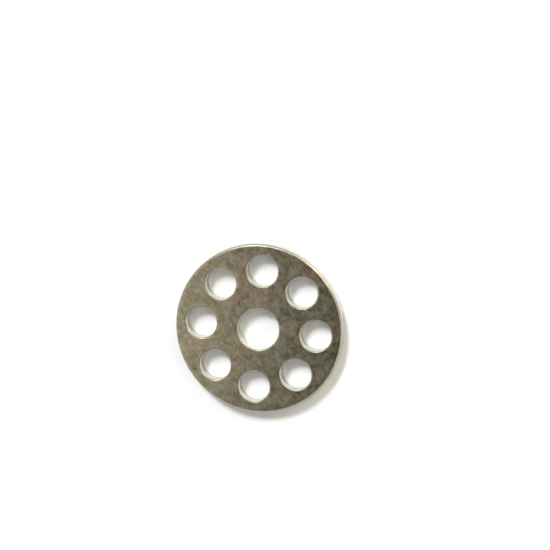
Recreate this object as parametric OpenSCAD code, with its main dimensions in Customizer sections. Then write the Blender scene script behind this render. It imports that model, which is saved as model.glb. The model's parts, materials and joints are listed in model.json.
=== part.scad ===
// Drilled washer: a flat round aluminium plate with a centre hole and a ring of
// equal round holes about it. Every mouth and both rims have a small edge break.
// Millimetres. The washer lies flat: z = 0 is its underside, and its axis is z.

/* [Plate] */
// Outside diameter of the plate
plate_d = 32; // [28:0.5:44]
// Thickness of the plate
plate_t = 2.5; // [1.5:0.25:5]
// Edge break round the rim, the same on both faces
rim_break = 0.35; // [0.1:0.05:0.6]

/* [Centre hole] */
// Diameter of the centre hole
centre_d = 8; // [4:0.25:12]
// Edge break at each mouth of the centre hole
centre_break = 0.15; // [0.05:0.05:0.4]

/* [Ring of holes] */
// Number of holes in the ring
ring_count = 8; // [3:1:9]
// Diameter of each hole in the ring
ring_hole_d = 6; // [3:0.25:6.5]
// Metal left between each ring hole and the outside of the plate
ring_web = 2; // [1:0.25:3.5]
// Edge break at each mouth of a ring hole
ring_break = 0.15; // [0.05:0.05:0.4]

/* [Hidden] */
$fn = 128;

// Radius of the circle that the centres of the ring holes lie on
ring_r = plate_d / 2 - ring_web - ring_hole_d / 2;
// Angle from one ring hole to the next
ring_step = 360 / ring_count;
// How far a cutter runs on past each face
overrun = 1;

// Half section of the plate, from its axis out to the rim
module plate_section() {
    rim_r = plate_d / 2;
    polygon([
        [0, 0],
        [rim_r - rim_break, 0],
        [rim_r, rim_break],
        [rim_r, plate_t - rim_break],
        [rim_r - rim_break, plate_t],
        [0, plate_t]
    ]);
}

// Half section of a round hole right through the plate, opening at 45 degrees
// over its edge break at each mouth
module hole_section(hole_d, mouth_break) {
    wall_r = hole_d / 2;
    end_r = wall_r + mouth_break + overrun;
    polygon([
        [0, -overrun],
        [end_r, -overrun],
        [wall_r, mouth_break],
        [wall_r, plate_t - mouth_break],
        [end_r, plate_t + overrun],
        [0, plate_t + overrun]
    ]);
}

module plate() {
    rotate_extrude() plate_section();
}

module centre_hole() {
    rotate_extrude() hole_section(centre_d, centre_break);
}

// The first ring hole lies on the x axis
module ring_holes() {
    for (i = [0 : ring_count - 1])
        rotate([0, 0, i * ring_step])
            translate([ring_r, 0, 0])
                rotate_extrude() hole_section(ring_hole_d, ring_break);
}

module washer() {
    color([0.56, 0.53, 0.47])
        difference() {
            plate();
            centre_hole();
            ring_holes();
        }
}

washer();
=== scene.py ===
"""Drilled aluminium washer: the looks of its one solid, with a plain studio and a camera.

The washer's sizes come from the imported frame. Its visible mesh is modelled anew at those sizes,
with smooth round walls and softened edges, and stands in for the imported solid.
"""

import json
import logging
import math
from contextlib import contextmanager
from dataclasses import dataclass, replace
from enum import Enum
from functools import cached_property
from typing import Callable, Iterator

import bpy
from mathutils import Matrix, Vector


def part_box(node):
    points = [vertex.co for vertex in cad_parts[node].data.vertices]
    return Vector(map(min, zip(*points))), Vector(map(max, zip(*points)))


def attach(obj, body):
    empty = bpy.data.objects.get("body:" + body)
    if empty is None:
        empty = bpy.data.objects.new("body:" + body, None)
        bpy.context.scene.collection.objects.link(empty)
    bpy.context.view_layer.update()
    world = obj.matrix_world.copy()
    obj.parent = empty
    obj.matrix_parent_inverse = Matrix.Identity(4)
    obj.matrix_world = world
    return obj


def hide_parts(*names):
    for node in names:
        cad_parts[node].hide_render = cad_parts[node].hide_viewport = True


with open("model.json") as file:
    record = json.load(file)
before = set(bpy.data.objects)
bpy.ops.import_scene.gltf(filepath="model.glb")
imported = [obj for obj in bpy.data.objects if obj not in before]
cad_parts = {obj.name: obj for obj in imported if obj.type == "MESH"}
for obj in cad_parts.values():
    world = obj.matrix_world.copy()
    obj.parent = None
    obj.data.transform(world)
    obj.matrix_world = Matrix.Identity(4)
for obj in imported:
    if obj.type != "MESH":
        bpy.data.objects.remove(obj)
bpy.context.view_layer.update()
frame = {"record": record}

log = logging.getLogger("washer")

MM = 0.001
# Points of a mesh that lie closer than this are one point
SEAM = 0.002 * MM
# Nearly all of a noise pattern's values lie between these two
NOISE_SPAN = (0.28, 0.72)

Pair = tuple[float, float]
Span = Pair
Triple = tuple[float, float, float]
Colour = Triple
Socket = bpy.types.NodeSocket
# What a node's input takes: another node's output, a number, or the numbers of a vector or colour
Source = Socket | float | tuple[float, ...]


# Selecting and editing


class Kind(Enum):
    """What is selected in a mesh, with Blender's word for it."""

    POINTS = "VERT"
    EDGES = "EDGE"
    FACES = "FACE"


def deselect_all() -> None:
    """Deselects every object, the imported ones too."""
    bpy.ops.object.select_all(action="DESELECT")


def make_active(piece: bpy.types.Object) -> None:
    """Makes one object the only one selected, and the active one.

    Args:
        piece: The object to work on.
    """
    deselect_all()
    piece.select_set(True)
    bpy.context.view_layer.objects.active = piece


@contextmanager
def edit_mode(piece: bpy.types.Object, kind: Kind = Kind.EDGES) -> Iterator[None]:
    """Opens a mesh in edit mode, with its selection kept, and leaves it again.

    Args:
        piece: The mesh object to edit.
        kind: What is selected in it.

    Yields:
        Nothing.
    """
    make_active(piece)
    bpy.ops.object.mode_set(mode="EDIT")
    bpy.ops.mesh.select_mode(type=kind.value)
    yield
    bpy.ops.object.mode_set(mode="OBJECT")


def clear_selection(piece: bpy.types.Object, kind: Kind) -> None:
    """Leaves nothing in a mesh selected.

    Args:
        piece: The mesh object.
        kind: What is selected in it next.
    """
    with edit_mode(piece, kind):
        bpy.ops.mesh.select_all(action="DESELECT")


def select_points(piece: bpy.types.Object, wanted: Callable[[Vector], bool]) -> None:
    """Selects the points that pass a test, and nothing else.

    Args:
        piece: The mesh object.
        wanted: A test of a point's place.
    """
    clear_selection(piece, Kind.POINTS)
    for point in piece.data.vertices:
        point.select = wanted(point.co)


def select_edges(piece: bpy.types.Object, wanted: Callable[[Vector, Vector], bool]) -> int:
    """Selects the edges whose two ends pass a test, and nothing else.

    Args:
        piece: The mesh object.
        wanted: A test of an edge's two end points.

    Returns:
        How many edges were selected.
    """
    clear_selection(piece, Kind.EDGES)
    mesh = piece.data
    found = 0
    for edge in mesh.edges:
        start, end = (mesh.vertices[i].co for i in edge.vertices)
        if wanted(start, end):
            edge.select = True
            found += 1
    return found


def select_faces(piece: bpy.types.Object, wanted: Callable[[bpy.types.MeshPolygon], bool]) -> int:
    """Selects the faces that pass a test, and nothing else.

    Args:
        piece: The mesh object.
        wanted: A test of one face.

    Returns:
        How many faces were selected.
    """
    clear_selection(piece, Kind.FACES)
    found = 0
    for face in piece.data.polygons:
        if wanted(face):
            face.select = True
            found += 1
    return found


# Circles on the washer


def bearing(point: Vector) -> float:
    """A point's angle about Z from the X axis, in radians."""
    return math.atan2(point.y, point.x)


@dataclass(frozen=True)
class Circle:
    """A level circle."""

    centre: Vector
    radius: float

    def holds(self, *points: Vector) -> bool:
        """Whether all these points lie on the circle, as seen from above."""
        gaps = (abs((point - self.centre).xy.length - self.radius) for point in points)
        return max(gaps) < SEAM


@dataclass(frozen=True)
class HoleRing:
    """A ring of equal holes about the washer's axis, the first of them on the X axis."""

    count: int
    pitch_radius: float
    hole_radius: float

    def holes(self) -> list[Circle]:
        """Where the holes are.

        Returns:
            Each hole's circle, in the plane z = 0.
        """
        turns = [i * 2 * math.pi / self.count for i in range(self.count)]
        outward = [Vector((math.cos(turn), math.sin(turn), 0.0)) for turn in turns]
        return [Circle(way * self.pitch_radius, self.hole_radius) for way in outward]


# Materials


@dataclass(frozen=True)
class Mottle:
    """A pattern of uneven patches of about one size, with layers of finer ones over them.

    Tone and dull are how far it swings the brightness and the roughness, as much up as down.
    """

    size_mm: float
    layers: float = 3.0
    layer_strength: float = 0.55
    tone: float = 0.0
    dull: float = 0.0


@dataclass(frozen=True)
class Streaks:
    """A pattern of fine lines: per metre, it has few units along the lines and many across them.

    Tone is how far it swings the brightness, as much up as down.
    """

    per_metre: Triple
    layers: float = 3.0
    layer_strength: float = 0.55
    tone: float = 0.0


@dataclass(frozen=True)
class Tint:
    """A colour that comes in where a pattern is high.

    It starts at the first level of the pattern, and from the second it covers this share of what
    lies under it.
    """

    colour: Colour
    levels: Span
    cover: float


class NodeBench:
    """A material's nodes, added and joined one after another."""

    def __init__(self, name: str) -> None:
        """Starts a material with an empty node tree.

        Args:
            name: The material's name.
        """
        self.material = bpy.data.materials.new(name)
        self.material.use_nodes = True
        self.tree = self.material.node_tree
        self.tree.nodes.clear()

    @cached_property
    def place(self) -> Socket:
        """Object coordinates, in metres."""
        return self.add("ShaderNodeTexCoord").outputs["Object"]

    def add(self, kind: str, **settings: str) -> bpy.types.Node:
        """Adds a node.

        Args:
            kind: The node's type name.
            settings: Attributes to set on it.

        Returns:
            The new node.
        """
        node = self.tree.nodes.new(kind)
        for key, value in settings.items():
            setattr(node, key, value)
        return node

    def join(self, source: Source, target: Socket) -> None:
        """Links an output to an input, or sets the input where the source is plain numbers.

        Args:
            source: What the input takes.
            target: The input.
        """
        if isinstance(source, Socket):
            self.tree.links.new(source, target)
        else:
            target.default_value = source

    def stretched(self, per_metre: Triple, turn_deg: float) -> Socket:
        """Object coordinates, turned about Z and then multiplied, for a pattern with a direction.

        Args:
            per_metre: How many units of the pattern lie in a metre along each axis.
            turn_deg: How far the coordinates are turned about Z, in degrees.

        Returns:
            The coordinates.
        """
        turned = self.add("ShaderNodeVectorRotate", rotation_type="Z_AXIS")
        self.join(self.place, turned.inputs["Vector"])
        self.join(math.radians(turn_deg), turned.inputs["Angle"])
        scaled = self.add("ShaderNodeVectorMath", operation="MULTIPLY")
        self.join(turned.outputs["Vector"], scaled.inputs[0])
        self.join(per_metre, scaled.inputs[1])
        return scaled.outputs["Vector"]

    def noise(self, place: Source, scale: float, layers: float, layer_strength: float) -> Socket:
        """A noise pattern from 0 to 1, about 0.5 in the mean.

        Args:
            place: The coordinates that it reads.
            scale: How many units of it lie in one of theirs.
            layers: How many finer layers it adds.
            layer_strength: How strong each of them is, beside the one before.

        Returns:
            The noise value.
        """
        node = self.add("ShaderNodeTexNoise", noise_dimensions="3D")
        self.join(place, node.inputs["Vector"])
        self.join(scale, node.inputs["Scale"])
        self.join(layers, node.inputs["Detail"])
        self.join(layer_strength, node.inputs["Roughness"])
        return node.outputs["Fac"]

    def patches(self, mottle: Mottle) -> Socket:
        """A mottle's pattern, from 0 to 1."""
        scale = 1 / (mottle.size_mm * MM)
        return self.noise(self.place, scale, mottle.layers, mottle.layer_strength)

    def lines(self, streaks: Streaks, turn_deg: float = 0.0) -> Socket:
        """The pattern of some streaks, from 0 to 1, turned about Z by an angle in degrees."""
        place = self.stretched(streaks.per_metre, turn_deg)
        return self.noise(place, 1.0, streaks.layers, streaks.layer_strength)

    def math(self, operation: str, first: Source, second: Source = 0.0) -> Socket:
        """A sum on one or two values.

        Args:
            operation: The Math node's operation.
            first: The first value.
            second: The second value.

        Returns:
            The result.
        """
        node = self.add("ShaderNodeMath", operation=operation)
        self.join(first, node.inputs[0])
        self.join(second, node.inputs[1])
        return node.outputs["Value"]

    def times(self, first: Source, second: Source) -> Socket:
        """The product of two values."""
        return self.math("MULTIPLY", first, second)

    def total(self, first: Source, second: Source, *others: Source) -> Socket:
        """Adds values up.

        Args:
            first: The first value.
            second: The second value.
            others: Any more of them.

        Returns:
            Their sum.
        """
        whole = self.math("ADD", first, second)
        for other in others:
            whole = self.math("ADD", whole, other)
        return whole

    def spread(self, value: Source, source: Span, target: Span) -> Socket:
        """Carries a value from one range to another, held at the ends.

        Args:
            value: The value.
            source: The start and end of its range.
            target: What they become.

        Returns:
            The new value.
        """
        node = self.add("ShaderNodeMapRange", interpolation_type="LINEAR")
        node.inputs["From Min"].default_value, node.inputs["From Max"].default_value = source
        node.inputs["To Min"].default_value, node.inputs["To Max"].default_value = target
        self.join(value, node.inputs["Value"])
        return node.outputs["Result"]

    def swing(self, pattern: Source, amount: float) -> Socket:
        """A noise pattern made a change of a value, from minus this amount to plus this amount."""
        return self.spread(pattern, NOISE_SPAN, (-amount, amount))

    def blend(self, share: Source, first: Source, second: Source) -> Socket:
        """Mixes two colours.

        Args:
            share: How much of the second colour there is.
            first: The first colour.
            second: The second colour.

        Returns:
            The mixed colour.
        """
        node = self.add("ShaderNodeMix", data_type="RGBA", blend_type="MIX")
        sockets = {socket.identifier: socket for socket in (*node.inputs, *node.outputs)}
        self.join(share, sockets["Factor_Float"])
        for colour, key in ((first, "A_Color"), (second, "B_Color")):
            self.join(colour if isinstance(colour, Socket) else (*colour, 1.0), sockets[key])
        return sockets["Result_Color"]

    def tinted(self, pattern: Source, tint: Tint, under: Source) -> Socket:
        """A tint laid where a pattern is high, over the colour that lies under it."""
        share = self.spread(pattern, tint.levels, (0.0, tint.cover))
        return self.blend(share, under, tint.colour)

    def scaled_colour(self, colour: Source, factor: Source) -> Socket:
        """Makes a colour lighter or darker.

        Args:
            colour: The colour.
            factor: What each channel is multiplied by.

        Returns:
            The new colour.
        """
        node = self.add("ShaderNodeVectorMath", operation="SCALE")
        self.join(colour, node.inputs[0])
        self.join(factor, node.inputs["Scale"])
        return node.outputs["Vector"]

    def relief(self, height: Source, depth_mm: float, before: Socket | None = None) -> Socket:
        """Raises a pattern on the surface.

        Args:
            height: The pattern, from 0 to 1.
            depth_mm: How high 1 stands, in millimetres.
            before: The normal of a coarser relief that this one lies on.

        Returns:
            The new normal.
        """
        node = self.add("ShaderNodeBump")
        self.join(1.0, node.inputs["Strength"])
        self.join(depth_mm * MM, node.inputs["Distance"])
        self.join(height, node.inputs["Height"])
        if before is not None:
            self.join(before, node.inputs["Normal"])
        return node.outputs["Normal"]

    def surface(self, shader: Socket) -> bpy.types.Material:
        """Ends the material in a shader.

        Args:
            shader: The shader's output.

        Returns:
            The finished material.
        """
        output = self.add("ShaderNodeOutputMaterial")
        self.join(shader, output.inputs["Surface"])
        return self.material

    def metal(self, colour: Source, roughness: Source, normal: Socket) -> bpy.types.Material:
        """Ends the material in one metal shader.

        Args:
            colour: The metal's colour.
            roughness: Its roughness.
            normal: The surface normal.

        Returns:
            The finished material.
        """
        shader = self.add("ShaderNodeBsdfPrincipled")
        self.join(1.0, shader.inputs["Metallic"])
        self.join(colour, shader.inputs["Base Color"])
        self.join(roughness, shader.inputs["Roughness"])
        self.join(normal, shader.inputs["Normal"])
        return self.surface(shader.outputs["BSDF"])


@dataclass(frozen=True)
class FaceOutline:
    """Where a flat face ends: at the rim, at the centre hole and at the ring holes."""

    rim_radius: float
    centre_radius: float
    ring: HoleRing

    def distance(self, bench: NodeBench) -> Socket:
        """How far a point of the face lies from the nearest edge of it.

        Args:
            bench: The material's nodes.

        Returns:
            The distance, in metres.
        """
        axes = bench.add("ShaderNodeSeparateXYZ")
        bench.join(bench.place, axes.inputs[0])
        across, along = axes.outputs["X"], axes.outputs["Y"]
        squared = bench.total(bench.times(across, across), bench.times(along, along))
        radius = bench.math("SQRT", squared)
        # The angle from the nearest ring hole. The cosine rule then gives the way to its centre
        half_step = math.pi / self.ring.count
        angle = bench.math("PINGPONG", bench.math("ARCTAN2", along, across), half_step)
        pitch = self.ring.pitch_radius
        outward = bench.times(radius, bench.math("COSINE", angle))
        way_squared = bench.total(squared, pitch * pitch, bench.times(outward, -2 * pitch))
        from_ring = bench.math("SUBTRACT", bench.math("SQRT", way_squared), self.ring.hole_radius)
        from_centre = bench.math("SUBTRACT", radius, self.centre_radius)
        from_rim = bench.math("SUBTRACT", self.rim_radius, radius)
        return bench.math("MINIMUM", from_ring, bench.math("MINIMUM", from_centre, from_rim))


@dataclass(frozen=True)
class Scratches:
    """Short fine scratches in several directions: what lies high in patterns of fine lines.

    Tone is how much brighter a scratch is.
    """

    streaks: Streaks = Streaks((240.0, 5200.0, 240.0), 1.0, 0.50)
    turns_deg: tuple[float, ...] = (12.0, 71.0, 133.0)
    levels: Span = (0.72, 0.76)
    tone: float = 0.14

    def pattern(self, bench: NodeBench) -> Source:
        """Lays the scratches.

        Args:
            bench: The material's nodes.

        Returns:
            1 on a scratch and 0 elsewhere.
        """
        found: Source = 0.0
        for turn_deg in self.turns_deg:
            lines = bench.lines(self.streaks, turn_deg)
            found = bench.math("MAXIMUM", found, bench.spread(lines, self.levels, (0.0, 1.0)))
        return found


@dataclass(frozen=True)
class Dents:
    """Small shallow dents, one to each cell of a pattern, bent a little out of round.

    The edge is where a dent starts to rise and where it ends, as shares of a cell from its middle.
    Tone is how much brighter its bottom is.
    """

    cell_mm: float = 0.9
    edge: Span = (0.06, 0.20)
    bend: Mottle = Mottle(0.40, 1.0, 0.50)
    bend_share: float = 0.06
    tone: float = -0.12
    depth_mm: float = 0.014

    def pattern(self, bench: NodeBench) -> Socket:
        """Lays the dents.

        Args:
            bench: The material's nodes.

        Returns:
            1 at the middle of a dent and 0 outside it.
        """
        cells = bench.add("ShaderNodeTexVoronoi", feature="F1", voronoi_dimensions="3D")
        bench.join(bench.place, cells.inputs["Vector"])
        bench.join(1 / (self.cell_mm * MM), cells.inputs["Scale"])
        bend = bench.swing(bench.patches(self.bend), self.bend_share)
        return bench.spread(bench.total(cells.outputs["Distance"], bend), self.edge, (1.0, 0.0))


@dataclass(frozen=True)
class RubbedSheenBand:
    """A narrow band beside each edge of a face, rubbed smoother by tumbling and painted brighter:
    partly rubbed wear, partly a painted sheen of the rolled edge.

    An uneven pattern makes it wider and narrower: at the pattern's first level the band has the
    first share of its width, and at the second level the second. Tone and dull are how much
    brighter and rougher it is at the edge.
    """

    width_mm: float = 0.38
    shares: Span = (0.5, 1.6)
    levels: Span = (0.35, 0.65)
    tone: float = 0.24
    dull: float = -0.07

    def pattern(self, bench: NodeBench, outline: FaceOutline, uneven: Socket) -> Socket:
        """Lays the band.

        Args:
            bench: The material's nodes.
            outline: Where the face ends.
            uneven: The pattern that its width follows.

        Returns:
            1 at the edge and 0 away from it.
        """
        width = self.width_mm * MM
        narrow, wide = (share * width for share in self.shares)
        reach = bench.spread(uneven, self.levels, (narrow, wide))
        share = bench.math("DIVIDE", outline.distance(bench), reach)
        return bench.spread(share, (0.0, 1.0), (1.0, 0.0))


@dataclass(frozen=True)
class SheetFace:
    """The flat faces: dull tumbled sheet, olive with patches of brown, slate and straw.

    They have a fine grain, rolling lines, short scratches and small dents, and a band beside their
    edges that is rubbed smoother and painted brighter, partly as wear and partly as a painted sheen
    of the rolled edge. The shares are how deep the rolling lines and the scratches are beside the
    grain.
    """

    olive: Colour = (0.316, 0.317, 0.225)
    brown: Tint = Tint((0.408, 0.341, 0.261), (0.40, 0.60), 1.0)
    slate: Tint = Tint((0.306, 0.297, 0.252), (0.50, 0.66), 0.85)
    straw: Tint = Tint((0.354, 0.323, 0.201), (0.52, 0.66), 0.90)
    roughness: float = 0.365
    patch: Mottle = Mottle(3.8)
    cloud: Mottle = Mottle(2.2, tone=0.20, dull=0.030)
    stain: Mottle = Mottle(1.7, 4.0, 0.62)
    blotch: Mottle = Mottle(1.1, 4.0, 0.62, tone=0.22, dull=0.036)
    speckle: Mottle = Mottle(0.42, 2.0, 0.60, tone=0.22, dull=0.012)
    grain: Mottle = Mottle(0.15, 2.0, 0.60, tone=0.16, dull=0.020)
    rolling: Streaks = Streaks((160.0, 4300.0, 160.0), tone=0.10)
    rolling_turn_deg: float = 24.0
    scratches: Scratches = Scratches()
    dents: Dents = Dents()
    # Painted sheen of the rolled edges, with rubbed wear: a brighter, smoother band beside each
    # edge
    rubbed_sheen: RubbedSheenBand = RubbedSheenBand()
    blotch_depth_mm: float = 0.016
    fine_depth_mm: float = 0.007
    rolling_share: float = 1.2
    scratch_share: float = 0.5

    def material(self, outline: FaceOutline) -> bpy.types.Material:
        """Builds the finish.

        Args:
            outline: Where the face ends.

        Returns:
            The material.
        """
        bench = NodeBench("sheet_face")
        patch = bench.patches(self.patch)
        cloud = bench.patches(self.cloud)
        stain = bench.patches(self.stain)
        blotch = bench.patches(self.blotch)
        speckle = bench.patches(self.speckle)
        grain = bench.patches(self.grain)
        rolled = bench.lines(self.rolling, self.rolling_turn_deg)
        scratch = self.scratches.pattern(bench)
        dent = self.dents.pattern(bench)
        # The band beside the edges: painted sheen of the rolled edge, together with rubbed wear
        rubbed_sheen = self.rubbed_sheen.pattern(bench, outline, blotch)

        colour = bench.tinted(patch, self.brown, self.olive)
        colour = bench.tinted(cloud, self.slate, colour)
        colour = bench.tinted(stain, self.straw, colour)
        tone = bench.total(
            1.0,
            bench.swing(cloud, self.cloud.tone),
            bench.swing(blotch, self.blotch.tone),
            bench.swing(speckle, self.speckle.tone),
            bench.swing(grain, self.grain.tone),
            bench.swing(rolled, self.rolling.tone),
            bench.times(scratch, self.scratches.tone),
            # Painted sheen beside the edges, with rubbed wear
            bench.times(rubbed_sheen, self.rubbed_sheen.tone),
            bench.times(dent, self.dents.tone),
        )
        dull = bench.total(
            self.roughness,
            bench.swing(cloud, self.cloud.dull),
            bench.swing(blotch, self.blotch.dull),
            bench.swing(speckle, self.speckle.dull),
            bench.swing(grain, self.grain.dull),
            bench.times(rubbed_sheen, self.rubbed_sheen.dull),
        )
        raised = bench.times(rolled, self.rolling_share)
        cut = bench.times(scratch, -self.scratch_share)
        normal = bench.relief(blotch, self.blotch_depth_mm)
        normal = bench.relief(bench.times(dent, -1.0), self.dents.depth_mm, normal)
        normal = bench.relief(bench.total(grain, raised, cut), self.fine_depth_mm, normal)
        return bench.metal(bench.scaled_colour(colour, tone), dull, normal)


@dataclass(frozen=True)
class BrokenEdge:
    """The edge breaks at the rim and at the mouths: worn smooth and brighter than the faces."""

    colour: Colour = (0.418, 0.378, 0.308)
    roughness: float = 0.40
    wear: Mottle = Mottle(0.8, 3.0, 0.60, tone=0.16, dull=-0.07)
    grain: Mottle = Mottle(0.11, 2.0, 0.50)
    grain_share: float = 0.3
    depth_mm: float = 0.010

    def material(self) -> bpy.types.Material:
        """Builds the finish.

        Returns:
            The material.
        """
        bench = NodeBench("broken_edge")
        wear = bench.patches(self.wear)
        grain = bench.patches(self.grain)
        tone = bench.total(1.0, bench.swing(wear, self.wear.tone))
        dull = bench.total(self.roughness, bench.swing(wear, self.wear.dull))
        height = bench.total(wear, bench.times(grain, self.grain_share))
        normal = bench.relief(height, self.depth_mm)
        return bench.metal(bench.scaled_colour(self.colour, tone), dull, normal)


@dataclass(frozen=True)
class RoundWall:
    """A wall that a tool went round: fine lines run round it, and its light comes in soft bands."""

    name: str
    colour: Colour
    roughness: float
    lines_per_m: float
    line_depth_mm: float
    around_per_m: float = 120.0
    layer_strength: float = 0.60
    line_tone: float = 0.10
    patch: Mottle = Mottle(1.4, tone=0.08, dull=0.05)

    def material(self) -> bpy.types.Material:
        """Builds the finish.

        Returns:
            The material.
        """
        bench = NodeBench(self.name)
        per_metre = (self.around_per_m, self.around_per_m, self.lines_per_m)
        lines = bench.lines(Streaks(per_metre, layer_strength=self.layer_strength))
        patch = bench.patches(self.patch)
        tone = bench.total(
            1.0, bench.swing(lines, self.line_tone), bench.swing(patch, self.patch.tone)
        )
        dull = bench.total(self.roughness, bench.swing(patch, self.patch.dull))
        normal = bench.relief(lines, self.line_depth_mm)
        return bench.metal(bench.scaled_colour(self.colour, tone), dull, normal)


# The washer


class Region(Enum):
    """The kinds of surface on the washer, each with its own finish and material slot."""

    FACE = 0
    BREAK = 1
    RIM = 2
    WALL = 3


@dataclass
class Washer:
    """The washer's one solid: a round plate with a centre hole and a ring of holes.

    It is modelled as one sector that holds one hole of the ring. The steps are how many edges the
    sector has along the rim, along the centre hole and along each of its two straight sides, and
    how many faces go across each edge break. A break's profile is flat at 0.25 and round at 0.5.
    The land is the flat left inside each broken edge, before the net of the face starts. A face
    whose normal's Z, up or down, is over face_normal is flat, and one where it isn't over
    wall_normal is upright.
    """

    radius: float
    thickness: float
    centre_radius: float
    ring: HoleRing
    rim_break: float = 0.35 * MM
    mouth_break: float = 0.15 * MM
    rim_break_steps: int = 6
    mouth_break_steps: int = 4
    break_profile: float = 0.31
    rim_steps: int = 42
    centre_steps: int = 10
    side_steps: int = 38
    net_rings: int = 7
    land: float = 0.12 * MM
    smooth_deg: float = 35.0
    normal_weight: int = 100
    face_normal: float = 0.999
    wall_normal: float = 0.02
    name: str = "washer_plate"
    face_finish: SheetFace = SheetFace()
    break_finish: BrokenEdge = BrokenEdge()
    rim_finish: RoundWall = RoundWall("turned_rim", (0.710, 0.680, 0.630), 0.34, 15000.0, 0.004)
    wall_finish: RoundWall = RoundWall("drilled_wall", (0.670, 0.652, 0.607), 0.21, 11000.0, 0.006)

    @classmethod
    def from_frame(cls, record: dict) -> "Washer":
        """Takes the washer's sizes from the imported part.

        Args:
            record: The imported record, which holds the mounts.

        Returns:
            A washer at those sizes.
        """
        low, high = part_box("washer")
        dims = {mount["name"]: mount["dims"] for mount in record["mounts"]}
        ring = dims["ring_holes"]
        return cls(
            radius=min(high.x - low.x, high.y - low.y) / 2,
            thickness=high.z - low.z,
            centre_radius=dims["centre_bore"]["r_mm"] * MM,
            ring=HoleRing(ring["count"], ring["pcd_mm"] / 2 * MM, ring["hole_r_mm"] * MM),
        )

    def build(self) -> bpy.types.Object:
        """Models the washer, dresses it and puts it in the frame.

        Returns:
            The finished piece.
        """
        piece = self.sector()
        self.repeat(piece)
        self.thicken(piece)
        self.break_edges(piece)
        self.smooth(piece)
        self.dress(piece)
        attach(piece, "root")
        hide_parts("washer")
        return piece

    def sector(self) -> bpy.types.Object:
        """Models the flat sector with one ring hole, as a net of four-sided faces round the hole.

        Returns:
            The sector, level with the upper face.
        """
        axis = Vector((0, 0, self.thickness))
        beside = Vector((self.ring.pitch_radius, 0, self.thickness))
        rim = Circle(axis, self.radius - self.rim_break - self.land)
        centre = Circle(axis, self.centre_radius + self.mouth_break + self.land)
        hole = Circle(beside, self.ring.hole_radius + self.mouth_break + self.land)
        piece = self.outline(rim, centre)
        self.add_circle(piece, self.rim_steps + self.centre_steps + 2 * self.side_steps, hole)
        with edit_mode(piece):
            bpy.ops.mesh.select_all(action="SELECT")
            bpy.ops.mesh.bridge_edge_loops(number_cuts=self.net_rings - 1, interpolation="LINEAR")
        self.add_band(piece, rim, self.radius)
        self.add_band(piece, centre, self.centre_radius)
        self.add_band(piece, hole, self.ring.hole_radius)
        return piece

    def outline(self, rim: Circle, centre: Circle) -> bpy.types.Object:
        """Draws the sector's outline: an arc of each of two circles, and two straight sides.

        Args:
            rim: The outer circle.
            centre: The inner circle.

        Returns:
            The outline.
        """
        count = self.ring.count
        deselect_all()
        bpy.ops.mesh.primitive_circle_add(
            vertices=self.rim_steps * count, radius=rim.radius, location=rim.centre
        )
        piece = bpy.context.active_object
        piece.name = piece.data.name = self.name
        bpy.ops.object.transform_apply(location=True, rotation=True, scale=True)
        self.add_circle(piece, self.centre_steps * count, centre)

        half = math.pi / count
        half_step = half / self.rim_steps
        select_points(piece, lambda point: abs(bearing(point)) > half + half_step)
        with edit_mode(piece, Kind.POINTS):
            bpy.ops.mesh.delete(type="VERT")
        for side in (-half, half):
            select_points(piece, lambda point, at=side: abs(bearing(point) - at) < half_step / 2)
            with edit_mode(piece, Kind.POINTS):
                bpy.ops.mesh.edge_face_add()
                bpy.ops.mesh.subdivide(number_cuts=self.side_steps - 1)
        return piece

    def add_circle(self, piece: bpy.types.Object, steps: int, circle: Circle) -> None:
        """Adds a circle to a piece.

        Args:
            piece: The piece.
            steps: How many edges the circle has.
            circle: Where it is.
        """
        with edit_mode(piece):
            bpy.ops.mesh.select_all(action="DESELECT")
            bpy.ops.mesh.primitive_circle_add(
                vertices=steps, radius=circle.radius, location=circle.centre
            )

    def add_band(self, piece: bpy.types.Object, start: Circle, end_radius: float) -> None:
        """Carries the net on from one circle to another about the same centre.

        Args:
            piece: The net.
            start: The circle where the net ends now.
            end_radius: The radius that it is carried on to.
        """
        select_edges(piece, start.holds)
        scale = end_radius / start.radius
        with edit_mode(piece):
            bpy.ops.mesh.extrude_edges_indiv()
            bpy.ops.transform.resize(value=(scale, scale, 1), center_override=start.centre)

    def repeat(self, piece: bpy.types.Object) -> None:
        """Repeats the sector round the axis and welds the seams.

        Args:
            piece: The sector.
        """
        copies = self.ring.count - 1
        with edit_mode(piece):
            bpy.ops.mesh.select_all(action="SELECT")
            bpy.ops.mesh.spin(
                steps=copies,
                dupli=True,
                angle=2 * math.pi * copies / self.ring.count,
                center=(0, 0, self.thickness),
                axis=(0, 0, 1),
            )
            bpy.ops.mesh.select_all(action="SELECT")
            bpy.ops.mesh.remove_doubles(threshold=SEAM)
            bpy.ops.mesh.normals_make_consistent(inside=False)
        if piece.data.polygons[0].normal.z < 0:
            with edit_mode(piece):
                bpy.ops.mesh.select_all(action="SELECT")
                bpy.ops.mesh.flip_normals()

    def thicken(self, piece: bpy.types.Object) -> None:
        """Gives the flat net its thickness, downwards from the upper face.

        Args:
            piece: The flat net.
        """
        make_active(piece)
        bpy.ops.object.modifier_add(type="SOLIDIFY")
        wall = piece.modifiers[-1]
        wall.thickness = self.thickness
        # All of the thickness lies behind the net
        wall.offset = -1.0
        bpy.ops.object.modifier_apply(modifier=wall.name)
        with edit_mode(piece):
            bpy.ops.mesh.select_all(action="SELECT")
            bpy.ops.mesh.normals_make_consistent(inside=False)

    def break_edges(self, piece: bpy.types.Object) -> None:
        """Breaks the rim's two edges and the edge at each mouth of each hole.

        Args:
            piece: The washer with sharp edges.
        """
        axis = Vector((0, 0, 0))
        rim = Circle(axis, self.radius)
        holes = [Circle(axis, self.centre_radius), *self.ring.holes()]
        self.break_circles(piece, [rim], self.rim_break, self.rim_break_steps)
        self.break_circles(piece, holes, self.mouth_break, self.mouth_break_steps)

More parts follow.
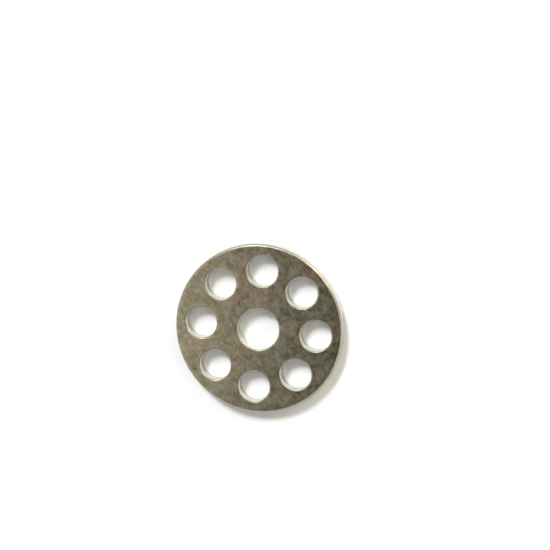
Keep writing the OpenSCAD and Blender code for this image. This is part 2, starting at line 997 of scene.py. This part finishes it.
    def break_circles(
        self, piece: bpy.types.Object, circles: list[Circle], width: float, steps: int
    ) -> None:
        """Breaks the edges that the walls on some circles make with the two faces.

        Args:
            piece: The washer.
            circles: The circles that the walls stand on.
            width: How wide the break is.
            steps: How many faces go across it.
        """

        def is_sharp(start: Vector, end: Vector) -> bool:
            """Whether an edge lies in the upper or the lower face, along one of the circles."""
            level = abs(start.z - end.z) < SEAM
            at_face = min(abs(start.z), abs(start.z - self.thickness)) < SEAM
            return level and at_face and any(circle.holds(start, end) for circle in circles)

        found = select_edges(piece, is_sharp)
        log.info("%d sharp edges", found)
        with edit_mode(piece):
            bpy.ops.mesh.bevel(
                offset=width, segments=steps, profile=self.break_profile, loop_slide=False
            )

    def smooth(self, piece: bpy.types.Object) -> None:
        """Shades the round surfaces smooth and keeps the flat faces flat.

        Args:
            piece: The washer.
        """
        make_active(piece)
        bpy.ops.object.shade_smooth_by_angle(angle=math.radians(self.smooth_deg))
        bpy.ops.object.modifier_add(type="WEIGHTED_NORMAL")
        weighted = piece.modifiers[-1]
        weighted.keep_sharp = True
        weighted.weight = self.normal_weight
        bpy.ops.object.modifier_apply(modifier=weighted.name)

    def region(self, face: bpy.types.MeshPolygon) -> Region:
        """Which kind of surface a face belongs to.

        Args:
            face: A face of the washer.

        Returns:
            The region.
        """
        up_or_down = abs(face.normal.z)
        if up_or_down > self.face_normal:
            return Region.FACE
        if up_or_down > self.wall_normal:
            return Region.BREAK
        at_rim = face.center.xy.length > self.radius - self.rim_break
        return Region.RIM if at_rim else Region.WALL

    def dress(self, piece: bpy.types.Object) -> None:
        """Gives each region of the washer its finish.

        Args:
            piece: The washer.
        """
        outline = FaceOutline(
            rim_radius=self.radius - self.rim_break,
            centre_radius=self.centre_radius + self.mouth_break,
            ring=replace(self.ring, hole_radius=self.ring.hole_radius + self.mouth_break),
        )
        materials = {
            Region.FACE: self.face_finish.material(outline),
            Region.BREAK: self.break_finish.material(),
            Region.RIM: self.rim_finish.material(),
            Region.WALL: self.wall_finish.material(),
        }
        for region, material in materials.items():
            make_active(piece)
            bpy.ops.object.material_slot_add()
            piece.material_slots[region.value].material = material
            found = select_faces(piece, lambda face, wanted=region: self.region(face) is wanted)
            piece.active_material_index = region.value
            with edit_mode(piece, Kind.FACES):
                bpy.ops.object.material_slot_assign()
            log.info("%s: %d faces", region.name.lower(), found)


# The studio


@dataclass(frozen=True)
class Direction:
    """A direction from the washer: an angle about Z from the X axis, and one up from the floor."""

    azimuth_deg: float
    elevation_deg: float

    def vector(self) -> Vector:
        """The direction as a vector.

        Returns:
            The vector, of length 1.
        """
        azimuth, elevation = math.radians(self.azimuth_deg), math.radians(self.elevation_deg)
        level = math.cos(elevation)
        return Vector((math.cos(azimuth) * level, math.sin(azimuth) * level, math.sin(elevation)))


@dataclass(frozen=True)
class Lamp:
    """A lamp that shines at the washer.

    Its strength is in watts a square metre for a far lamp, and in watts for a near panel.
    """

    name: str
    place: Direction
    strength: float
    colour: Colour

    def hang(self, kind: str, distance: float = 1.0) -> bpy.types.Light:
        """Hangs the lamp, turned towards the washer.

        Args:
            kind: The light's type.
            distance: How far off it hangs, in metres, which makes no difference to a sun.

        Returns:
            The light.
        """
        towards = self.place.vector()
        deselect_all()
        bpy.ops.object.light_add(type=kind, location=towards * distance)
        lamp = bpy.context.active_object
        lamp.name = self.name
        lamp.rotation_euler = towards.to_track_quat("Z", "Y").to_euler()
        lamp.data.energy = self.strength
        lamp.data.color = self.colour
        return lamp.data


@dataclass(frozen=True)
class FarLamp(Lamp):
    """A broad lamp far away, whose light falls the same everywhere."""

    spread_deg: float

    def build(self) -> None:
        """Hangs the lamp and makes it broad."""
        light = self.hang("SUN")
        light.angle = math.radians(self.spread_deg)


@dataclass(frozen=True)
class NearPanel(Lamp):
    """A square lit panel close to the washer, so that its light falls off across the face."""

    distance: float
    side: float

    def build(self) -> None:
        """Hangs the panel and gives it its size."""
        light = self.hang("AREA", self.distance)
        light.shape = "SQUARE"
        light.size = self.side


@dataclass(frozen=True)
class Surround:
    """The studio round the washer: pale at the horizon and dim overhead.

    Each level is a height, from 0 at the horizon to 1 overhead, and how bright the studio is there.
    """

    tint: Colour = (1.0, 0.98, 0.95)
    levels: tuple[Pair, ...] = ((0.0, 1.0), (0.10, 0.90), (0.28, 0.40), (0.60, 0.18), (0.84, 0.015))

    def build(self) -> None:
        """Makes the world."""
        world = bpy.data.worlds.new("surround")
        bpy.context.scene.world = world
        world.use_nodes = True
        nodes, links = world.node_tree.nodes, world.node_tree.links
        nodes.clear()
        axes = nodes.new("ShaderNodeSeparateXYZ")
        links.new(nodes.new("ShaderNodeTexCoord").outputs["Generated"], axes.inputs[0])
        ramp = nodes.new("ShaderNodeValToRGB")
        links.new(axes.outputs["Z"], ramp.inputs[0])
        ramp.color_ramp.interpolation = "LINEAR"
        stops = ramp.color_ramp.elements
        while len(stops) < len(self.levels):
            stops.new(1.0)
        for stop, (height, level) in zip(stops, self.levels):
            stop.position = height
            stop.color = (*(level * part for part in self.tint), 1.0)
        sky = nodes.new("ShaderNodeBackground")
        links.new(ramp.outputs["Color"], sky.inputs["Color"])
        output = nodes.new("ShaderNodeOutputWorld")
        links.new(sky.outputs[0], output.inputs["Surface"])


@dataclass(frozen=True)
class PaleFloor:
    """The floor that the washer lies on, which keeps its shadow.

    Its lift is a faint light of its own that makes it look white, seen only by the camera and in
    metal and glass.
    """

    half: float = 2.0
    below: float = 0.01 * MM
    colour: Colour = (0.95, 0.95, 0.95)
    lift: float = 0.05

    def build(self) -> None:
        """Lays the floor."""
        deselect_all()
        bpy.ops.mesh.primitive_plane_add(size=2 * self.half, location=(0, 0, -self.below))
        floor = bpy.context.active_object
        bpy.ops.object.transform_apply(location=True, rotation=True, scale=True)
        floor.name = "floor"
        floor.data.materials.append(self.material())

    def material(self) -> bpy.types.Material:
        """Builds the finish.

        Returns:
            The material.
        """
        bench = NodeBench("pale_floor")
        paint = bench.add("ShaderNodeBsdfDiffuse")
        bench.join((*self.colour, 1.0), paint.inputs["Color"])
        path = bench.add("ShaderNodeLightPath")
        seen = path.outputs["Is Camera Ray"]
        for other in ("Is Glossy Ray", "Is Transmission Ray"):
            seen = bench.math("MAXIMUM", seen, path.outputs[other])
        glow = bench.add("ShaderNodeEmission")
        bench.join(bench.times(seen, self.lift), glow.inputs["Strength"])
        both = bench.add("ShaderNodeAddShader")
        bench.join(paint.outputs[0], both.inputs[0])
        bench.join(glow.outputs[0], both.inputs[1])
        return bench.surface(both.outputs[0])


@dataclass(frozen=True)
class Studio:
    """The floor, the surround and the lamps."""

    floor: PaleFloor = PaleFloor()
    surround: Surround = Surround()
    lamps: tuple[FarLamp, ...] = (
        FarLamp("key", Direction(-18.5, 44.0), 2.75, (0.96, 1.01, 1.03), 18.0),
        FarLamp("right_window", Direction(-84.5, 23.0), 1.22, (1.08, 1.05, 0.83), 36.0),
        FarLamp("high_window", Direction(-86.5, 60.0), 0.26, (1.06, 1.02, 0.86), 30.0),
        FarLamp("low_fill", Direction(-149.5, 25.0), 0.36, (1.05, 1.00, 0.94), 40.0),
    )
    panels: tuple[NearPanel, ...] = (
        NearPanel("warm_panel", Direction(53.5, 60.8), 0.019, (1.17, 0.96, 0.86), 0.19, 0.06),
        NearPanel("cool_panel", Direction(85.3, 57.1), 0.015, (1.00, 1.06, 0.93), 0.19, 0.06),
    )

    def build(self) -> None:
        """Sets up the studio."""
        for part in (self.floor, self.surround, *self.lamps, *self.panels):
            part.build()


@dataclass(frozen=True)
class PhotoCamera:
    """The camera at the photograph's viewing angle.

    It is tilted from straight above, and turned so that the washer's near side is at the upper
    right. The pixels are those of the photograph: its width, the focal length, where the middle of
    the washer's top is, and how wide the washer is there.
    """

    frame_px: float = 550.0
    focal_px: float = 1520.0
    centre_px: Pair = (257.9, 329.05)
    across_px: float = 171.4
    tilt_deg: float = 18.0
    near_side_deg: float = 39.5
    sensor_mm: float = 36.0
    nearest: float = 0.01
    farthest: float = 10.0

    def build(self, washer: Washer) -> None:
        """Places the camera.

        Args:
            washer: The washer that it looks at.
        """
        in_world, in_view = self.frame_in_world(), self.frame_in_view()
        distance = self.focal_px * 2 * washer.radius / self.across_px
        top = Vector((0, 0, washer.thickness))
        deselect_all()
        bpy.ops.object.camera_add()
        camera = bpy.context.active_object
        turn = in_world @ in_view.transposed()
        camera.matrix_world = Matrix.Translation(top + in_world.col[2] * distance) @ turn.to_4x4()
        camera.data.sensor_width = self.sensor_mm
        camera.data.lens = self.focal_px / self.frame_px * self.sensor_mm
        camera.data.clip_start = self.nearest
        camera.data.clip_end = self.farthest
        bpy.context.scene.camera = camera

    def frame_in_world(self) -> Matrix:
        """The frame of someone who looks straight at the washer, in the world's axes.

        Returns:
            Right, up and back, one to a column.
        """
        tilt, near = math.radians(self.tilt_deg), math.radians(self.near_side_deg)
        back = Vector((0, -math.sin(tilt), math.cos(tilt)))
        to_near = Vector((0, -math.cos(tilt), -math.sin(tilt)))
        to_side = Vector((1, 0, 0))
        right = to_near * math.cos(near) - to_side * math.sin(near)
        up = to_near * math.sin(near) + to_side * math.cos(near)
        return Matrix((right, up, back)).transposed()

    def frame_in_view(self) -> Matrix:
        """The same frame in the camera's own axes, where the washer is off the view's middle.

        Returns:
            Right, up and back, one to a column.
        """
        half = self.frame_px / 2
        aside, raised = self.centre_px[0] - half, half - self.centre_px[1]
        back = -Vector((aside, raised, -self.focal_px)).normalized()
        right = Vector((0, 1, 0)).cross(back).normalized()
        return Matrix((right, back.cross(right), back)).transposed()


def main() -> None:
    """Builds the washer, the studio and the camera, and reports each."""
    logging.basicConfig(level=logging.INFO, format="%(name)s: %(message)s")
    bpy.context.scene.view_settings.view_transform = "Standard"
    washer, studio, camera = Washer.from_frame(frame["record"]), Studio(), PhotoCamera()
    piece = washer.build()
    log.info("%s: %d faces", piece.name, len(piece.data.polygons))
    studio.build()
    log.info("studio: %d lamps", len(studio.lamps) + len(studio.panels))
    camera.build(washer)
    log.info("camera: %g degrees from straight above", camera.tilt_deg)


if __name__ == "__main__":
    main()
